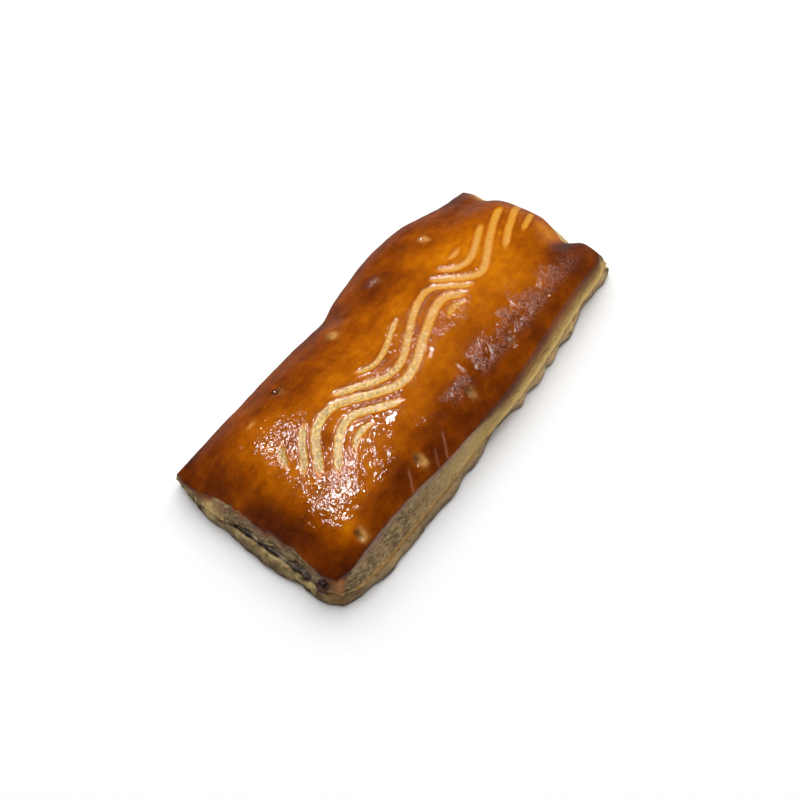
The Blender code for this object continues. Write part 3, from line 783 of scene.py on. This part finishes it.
brown = (patches(BROWN_PATCHES, xm, ym, brown)
         + 0.08 * rough(points, 9, 73) + 0.03 * rough(points, 2.5, 79)
         + 0.04 * rough(points, (9.0, 2.2, 9.0), 81)
         + 0.16 * bell(xm, -71, 5) * lumps(points, 7, 82))
brown = brown + between(far * (v < 0.5), 0.12, -0.06) * ease(0.0, 1.0, down / 0.4)
brown = brown - 0.42 * ease(-0.1, 0.4, down) * bell(u, 0, 0.03)
corner = bell(u, 0, 0.012) * bell(ym, -29, 2.2) * ease(0.0, 0.35, down)
brown = between(corner, brown, 0.5 + 0.15 * lumps(points, 2, 84))

# Crackled glaze: strong in patches over the near end and along the comb's strokes.
CRACKLE_PATCHES = (
    (1.0, -48.5, 9, 8.5, 8), (1.2, -50, 12, -14.5, 7), (1.0, -38, 8, -21, 3.2),
    (0.6, -54, 8, -3, 7), (0.7, -33, 5, -15, 3), (1.3, 16, 7, -8, 3.5), (0.5, -8, 26, -3, 7),
    (1.0, -61, 5, -17, 5))
CRACKLE_SPOTS = [(0.8, x, 1.6, y, 1.8) for x, y in (
    (34, -8), (41, -10), (47, -9), (58, -9), (61, -8), (-20, -20.5), (-24, -21.5), (-21, -15))]
broken = 0.40 + 0.60 * ease(-0.35, 0.20, rough(points, 4, 83))
crackle = patches(CRACKLE_SPOTS, xm, ym, patches(CRACKLE_PATCHES, xm, ym)).clip(0, 1) * broken
crackle = (0.05 + 0.10 * ease(8, 18, ym) + crackle).clip(0, 1) * skin

# Shrivelled skin, dull and dimpled, also given a painted sheen and lines of painted highlight:
# broken patches along the right shoulder, and two whole ones.
SHRIVEL_SHEEN_PATCHES = ((1.0, 10, 7, -21.5, 3.2), (1.0, 30, 6.5, -20, 4.5), (1.0, 49.5, 5, -20.5, 2.6),
                   (0.7, -5, 8, -22.8, 1.6), (0.8, 28, 26, -24.6, 1.5))
SHRIVEL_SHEEN_WHOLE = ((0.9, 13.2, 2.2, 22.4, 1.6), (0.3, 58, 5, -22.5, 3))
broken = ease(-0.45, 0.25, rough(points, 5, 85))
shrivel = patches(SHRIVEL_SHEEN_WHOLE, xm, ym, patches(SHRIVEL_SHEEN_PATCHES, xm, ym) * broken)
shrivel = shrivel.clip(0, 1) * skin

floor, burr = comb_marks(points[:, 0], points[:, 1])
floor, burr = floor * flat, burr * flat
sparkling = ease(-36, -28, xm) * (1 - ease(20, 35, xm))

# Heights of the relief in millimetres: skin, pin marks, and the crumb of the cut.
RISE = {"broad": 0.22, "small": 0.10, "crackle": 0.06, "wrinkles": 0.16, "shrivel": 0.12,
        "dent": 0.30, "hole": 0.45, "frill": 0.20, "layers": 0.16, "crumb": 0.30, "pits": 0.45}
folds = 1 - np.abs(lumps(points, 1.7, 89)) * 2.2
folds_fine = 1 - np.abs(lumps(points, 0.95, 97)) * 2.2
relief = skin * (RISE["broad"] * lumps(points, 11, 101) + RISE["small"] * lumps(points, 4, 103))
relief = relief + crackle * (RISE["crackle"] * folds + RISE["crackle"] * folds_fine)
wrinkled = bell(ym, -23.5, 3.6) * ease(-20, -6, xm) * (1 - ease(50, 60, xm))
relief = (relief + wrinkled * skin * RISE["wrinkles"] * rough(points, 2.4, 107)
          + shrivel * RISE["shrivel"] * (folds + folds_fine))
relief = (relief - STROKE_DEPTH / MM * floor * (1 + 0.25 * lumps(points, 1.0, 109))
          + between(ease(-40, -25, xm), 0.07, 0.15) * burr
          * (0.5 + 2.0 * lumps(points, 1.0, 111)))
crackle = np.maximum(crackle, burr * ease(-0.35, 0.15, lumps(points, 5, 112)) * sparkling)

# Pin marks: a hole in a shallow dent, with a frilled edge and a pale patch beside it.
pale = np.zeros(len(xm))
ragged = 0.45 * lumps(points, 1.8, 113)
frills = lumps(points, 1.2, 115)
for mark_x, mark_y, hole, halo in PIN_MARKS:
    away = np.hypot(xm - mark_x, (ym - mark_y) * 0.8) + ragged
    beside = np.hypot(xm - mark_x - 0.5, (ym - mark_y + 0.9) * 0.75) + ragged
    dent = RISE["dent"] * bell(away, 0, PIN_DENT) + RISE["hole"] * bell(away, 0, PIN_HOLE)
    relief = relief - flat * (dent - RISE["frill"] * bell(away, 0.8, 1.2) * frills)
    # The hole is darkened: painted shade.
    brown = brown + flat * (1.2 * hole * bell(away, 0.0, 0.8)
                            - 0.14 * halo * bell(away, 0, PIN_HALO))
    patch = halo * bell(beside, 0.6, 0.9) * flat * (1 - hole * bell(away, 0, 1.0))
    pale = np.maximum(pale, patch)
# Bare pastry at the torn corner, and two flecks where the glaze missed it.
PALE_FLECKS = ((1.0, 70.5, 2.6, 18.5, 4.2), (0.5, -48.2, 1.3, 18.8, 0.7))
pale = np.maximum(pale, 0.35 * corner * (0.8 + 0.6 * lumps(points, 1.6, 116)))
for fleck in PALE_FLECKS:
    pale = np.maximum(pale, patches([fleck], xm, ym))
drip = np.zeros(len(xm))
wander = 0.4 * lumps(points, 2.5, 118)
for drip_x, drip_top, strength in DRIPS:
    away = xm - drip_x - DRIP_SLANT * (ym - DRIP_FOOT) + wander
    line = strength * bell(away, 0, DRIP_WIDTH) * (1 - ease(drip_top - 2, drip_top, ym)) * skin
    drip = np.maximum(drip, line)

layers = rough(points, (3.0, 3.0, 0.55), 127)
pits = (ease(0.30, 0.75, lumps(points, (1.6, 1.6, 0.9), 131)) * crumb * (down < 0.85)
        * ease(-0.1, 0.4, lumps(points, 7, 133)))
SLIT_HOLE = (-70.9, 15.0, 0.8)  # x, y and radius of the hole at the slit's left
hole = bell(np.hypot(xm - SLIT_HOLE[0], ym - SLIT_HOLE[1]), 0, SLIT_HOLE[2])
pits = np.maximum(pits, crumb * hole)
relief = relief + crumb * outside * (
    RISE["layers"] * layers + RISE["crumb"] * lumps(points, 4, 137) - RISE["pits"] * pits)
far_side = between(at_end, between(v, far, 0.45), 0.0)
ridge = (bell(down, between(far_side, 0.92, 0.90), between(far_side, 0.06, 0.09)) * outside
         * (1 - at_end))
# A band just under the wall's top edge that is given a painted sheen.
mauve = ease(0.0, 0.05, down) * (1 - ease(0.05, 0.32, down)) * (1 - at_end) * (1 - 0.7 * far_side)
pale_cut = patches([(1.3, -71, 2.2, 16.5, 3.0)], xm, ym, ease(-50, -9, xm) * (1 - 0.7 * v))

lid = make_piece("glazed_lid", points, sheet.faces, relief * outside * MM, {
    "brown": brown, "crumb": crumb, "floor": floor, "burr": burr, "crackle": crackle, "pale": pale,
    "drip": drip, "shrivel": shrivel, "pits": pits, "ridge": ridge, "far_side": far_side,
    "far_end": ease(-45, 30, xm), "near_end": 1 - ease(-50, -36, xm), "down": down,
    "pale_cut": pale_cut.clip(0, 1.4), "mauve": mauve})

# Egg glaze from pale gold to maroon, and the crumb of the strokes, the cut and the folded side.
CRUST = ((0.0, 236, 186, 96), (0.22, 224, 146, 30), (0.40, 206, 119, 3), (0.55, 175, 91, 1),
         (0.70, 142, 66, 1), (0.85, 109, 46, 3), (1.0, 80, 30, 6))
SCORED = ((0.32, 134, 102, 36), (0.44, 178, 140, 56), (0.56, 206, 162, 58), (0.68, 236, 200, 102))
CUT = ((0.46, 102, 76, 42), (0.60, 142, 110, 66), (0.78, 184, 152, 98))
FOLDED = ((0.46, 132, 88, 26), (0.60, 196, 152, 70), (0.74, 244, 204, 118))
# On the wrinkled patches, a pinkish-brown painted sheen and pale pink lines of painted highlight.
SHOULDER_SHEEN, VEIN_HIGHLIGHTS = tone(136, 72, 54), tone(220, 158, 126)
FAR_STROKE, NEAR_STROKE, STROKE_EDGE = tone(216, 141, 20), tone(164, 124, 62), tone(208, 124, 20)
BARE_PASTRY, DRIP_PINK = tone(222, 164, 84), tone(178, 118, 90)
# The dark of the crevices between strands is painted shade.
STRANDS, CREVICE_SHADE, CREAM = tone(206, 178, 124), tone(88, 64, 34), tone(236, 200, 120)
# The pale band under the top edge is painted sheen, and the dark of the pits is painted shade.
EDGE_SHEEN, LEAF_EDGES, PIT_SHADE = tone(164, 126, 112), tone(150, 106, 44), tone(70, 54, 32)
NEAR_RIDGE, FAR_RIDGE = tone(188, 136, 54), tone(255, 214, 128)

material, paint, shader = new_material("egg_glazed_crust", Specular_IOR_Level=0.9, IOR=1.5)
fine = paint.grain(0.6, 3.0)
medium = paint.grain(2.2, 3.0)
crinkles = paint.grain(1.2, 2.2)
shrivelled_and_sheen, crackled, crumb = paint.mask("shrivel"), paint.mask("crackle"), paint.mask("crumb")
far_side, down, stroke = paint.mask("far_side"), paint.mask("down"), paint.mask("floor")
streaks = paint.grain(0.8, 2.0, (0.22, 1.0, 1.0))
# On the wrinkled patches the crinkles' hollows are painted darker and their tops paler: painted
# shade and painted highlight.
toast = (paint.mask("brown") + (streaks - 0.5) * 0.10 + (medium - 0.5) * 0.18 + (fine - 0.5) * 0.14
         + paint.mask("burr") * 0.07 + shrivelled_and_sheen * 0.10 - shrivelled_and_sheen * (crinkles - 0.5) * 1.2)
# A painted sheen, then thin pale lines of painted highlight, over the wrinkled patches.
crust = (shrivelled_and_sheen * 0.45).blend(toast.ramp(*CRUST), SHOULDER_SHEEN)
highlight_veins = paint.grain(1.0, 3.0, (0.7, 1.0, 1.0))
highlight_veins = highlight_veins.rise(0.44, 0.50) - highlight_veins.rise(0.50, 0.56)
crust = (shrivelled_and_sheen * highlight_veins * 0.45).blend(crust, VEIN_HIGHLIGHTS)
scored = paint.grain(0.8, 4.0).ramp(*SCORED)
scored = (paint.mask("far_end") * 0.70).blend(scored, FAR_STROKE)
scored = (paint.mask("near_end") * 0.50).blend(scored, NEAR_STROKE)
colour = stroke.rise(0.05, 0.60).blend(crust, STROKE_EDGE)
colour = stroke.rise(0.35, 0.90).blend(colour, scored)
colour = paint.mask("pale").blend(colour, BARE_PASTRY)
colour = (paint.mask("drip") * 0.45).blend(colour, DRIP_PINK)

flaky = paint.grain(1.3, 4.0, (0.4, 0.4, 1.4))
strands = paint.grain(0.5, 3.0, (0.42, 0.42, 0.9))
broad = paint.grain(5)
cut = (flaky * 0.50 + medium * 0.25 + broad * 0.45).ramp(*CUT)
cut = (strands.rise(0.50, 0.64) * 0.65).blend(cut, STRANDS)
# Darker in the crevices between strands, where the bump is low: painted shade.
cut = ((1 - strands.rise(0.36, 0.46)) * 0.5).blend(cut, CREVICE_SHADE)
cut = (paint.mask("pale_cut") * 0.6).blend(cut, CREAM)
# Painted sheen just under the top edge.
cut = (paint.mask("mauve") * 0.7).blend(cut, EDGE_SHEEN)
leaves = paint.grain(1.6, 4.0, (0.12, 0.5, 3.0))
folded = (flaky * 0.25 + leaves * 0.45 + strands * 0.15 + medium * 0.10 + down * 0.25).ramp(*FOLDED)
folded = (leaves.rise(0.54, 0.62) * 0.4).blend(folded, LEAF_EDGES)
cut = far_side.blend(cut, folded)
# The pits and the hole, dented in, are painted dark inside: painted shade.
cut = (paint.mask("pits") * 0.6).blend(cut, PIT_SHADE)
cut = (paint.mask("ridge") * 0.9).blend(cut, far_side.blend(NEAR_RIDGE, FAR_RIDGE))
colour = crumb.blend(colour, cut)

gloss = (down.rise(0.0, 0.12) * 0.3 + stroke * (0.32 - crackled * 0.20) + crumb * 0.5
         + shrivelled_and_sheen * 0.15 + paint.mask("pale") * 0.3 + 0.06
         + crackled * (medium.rise(0.45, 0.62) * 0.10))
height = (crinkles * (crackled * 0.85 + shrivelled_and_sheen * 0.7)
          + fine * (0.05 + shrivelled_and_sheen * 1.0 + crumb * 0.35)
          + (strands * 0.5 + leaves * far_side) * crumb)
surface(paint, shader, Base_Color=colour, Roughness=gloss, Normal=paint.relief(height, 0.35))
lid.data.materials.append(material)
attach(lid, "root")
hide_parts("pastry_lid")

# ==== Studio ====
# A white table top and pale paper behind it, lit by one large soft box.  Four small lamps show only
# as glints in the glaze, and a dim sky fills the shadows.  The camera looks down on the roll from
# beyond the slit end's right corner.  Sizes and places are in metres.
FLOOR_SIZE = 6.0
BACKDROP_REACH = 1.7
BACKDROP_SIDES = 64
TABLE_WHITE = (0.85, 0.853, 0.858, 1.0)
PAPER_GLOW = (0.82, 0.82, 0.825, 1.0)
BLACK = (0.0, 0.0, 0.0, 1.0)
HORIZON = 0.3  # its place on the sky's ramp
SKY = ((0.0, (0.12, 0.12, 0.13, 1.0)), (0.24, (0.15, 0.15, 0.16, 1.0)),
       (0.28, (0.15, 0.15, 0.155, 1.0)), (0.36, (0.10, 0.10, 0.105, 1.0)),
       (0.60, (0.03, 0.03, 0.032, 1.0)), (1.0, (0.008, 0.008, 0.009, 1.0)))
# Name, direction from the roll, distance, width and length, watts, and whether it is a glint.
LAMPS = (("soft_box", (0.30, 0.22, 0.93), 2.0, (2.8, 2.8), 84.0, False),
         ("left_lamp", (0.0, 0.64, 0.77), 1.1, (0.13, 0.12), 2.6, True),
         ("over_lamp", (-0.05, 0.01, 1.0), 1.1, (0.15, 0.24), 4.4, True),
         ("far_lamp", (0.30, 0.20, 0.93), 1.1, (0.08, 0.08), 1.8, True),
         ("side_box", (0.62, -0.26, 0.74), 1.1, (0.10, 0.10), 0.4, True))
CAMERA_PLACE = (-0.11593, -0.09804, 0.22640)
CAMERA_TURNS = ((-48.712, "Z"), (32.474, "X"), (-5.235, "Z"))  # degrees, one after the other
LENS, FILM_WIDTH = 38.25, 36.0  # millimetres

half = FLOOR_SIZE / 2
table_top = make_piece("table_top", [(-half, -half, 0), (half, -half, 0), (half, half, 0),
                                     (-half, half, 0)], [(0, 1, 2, 3)])
material, paint, shader = new_material("white_table", Roughness=0.9, Specular_IOR_Level=0.0,
                                       Base_Color=TABLE_WHITE)
table_top.data.materials.append(material)
table_top.visible_glossy = False

points = [(np.cos(turn) * BACKDROP_REACH, np.sin(turn) * BACKDROP_REACH, level)
          for level in (0.0, BACKDROP_REACH)
          for turn in np.linspace(0, 2 * np.pi, BACKDROP_SIDES, endpoint=False)]
faces = tube_faces(np.arange(2 * BACKDROP_SIDES).reshape(2, -1), -1)[:-2]  # open above and below
backdrop = make_piece("pale_backdrop", points, faces)
material, paint, shader = new_material("pale_paper", Roughness=1.0, Specular_IOR_Level=0.0,
                                       Base_Color=BLACK, Emission_Color=PAPER_GLOW,
                                       Emission_Strength=1.0)
backdrop.data.materials.append(material)
backdrop.visible_diffuse = backdrop.visible_glossy = backdrop.visible_shadow = False

world = bpy.data.worlds.new("studio")
bpy.context.scene.world = world
world.use_nodes = True
sky = Shade(world.node_tree)
direction = sky.add("ShaderNodeTexCoord", output=0)
height = sky.add("ShaderNodeSeparateXYZ", inputs={0: direction}, output=2)
glow = sky.add("ShaderNodeValToRGB", {"stops": SKY}, {"Fac": height + HORIZON})
world.node_tree.links.new(glow.socket, world.node_tree.nodes["Background"].inputs["Color"])

for name, direction, distance, size, watts, glint in LAMPS:
    lamp = bpy.data.lights.new(name, "AREA")
    lamp.shape = "RECTANGLE"
    lamp.size, lamp.size_y = size
    lamp.energy = watts
    box = bpy.data.objects.new(name, lamp)
    bpy.context.scene.collection.objects.link(box)
    box.visible_glossy = glint
    box.visible_diffuse = not glint
    away = Vector(direction).normalized()
    box.matrix_world = (Matrix.Translation(away * distance)
                        @ away.to_track_quat("Z", "Y").to_matrix().to_4x4())

camera = bpy.data.cameras.new("camera")
camera.lens = LENS
camera.sensor_width = FILM_WIDTH
camera.clip_start = 0.01
viewer = bpy.data.objects.new("camera", camera)
pose = Matrix.Translation(CAMERA_PLACE)
for degrees, axis in CAMERA_TURNS:
    pose = pose @ Matrix.Rotation(np.radians(degrees), 4, axis)
viewer.matrix_world = pose
bpy.context.scene.collection.objects.link(viewer)
bpy.context.scene.camera = viewer
bpy.context.scene.view_settings.view_transform = "Standard"
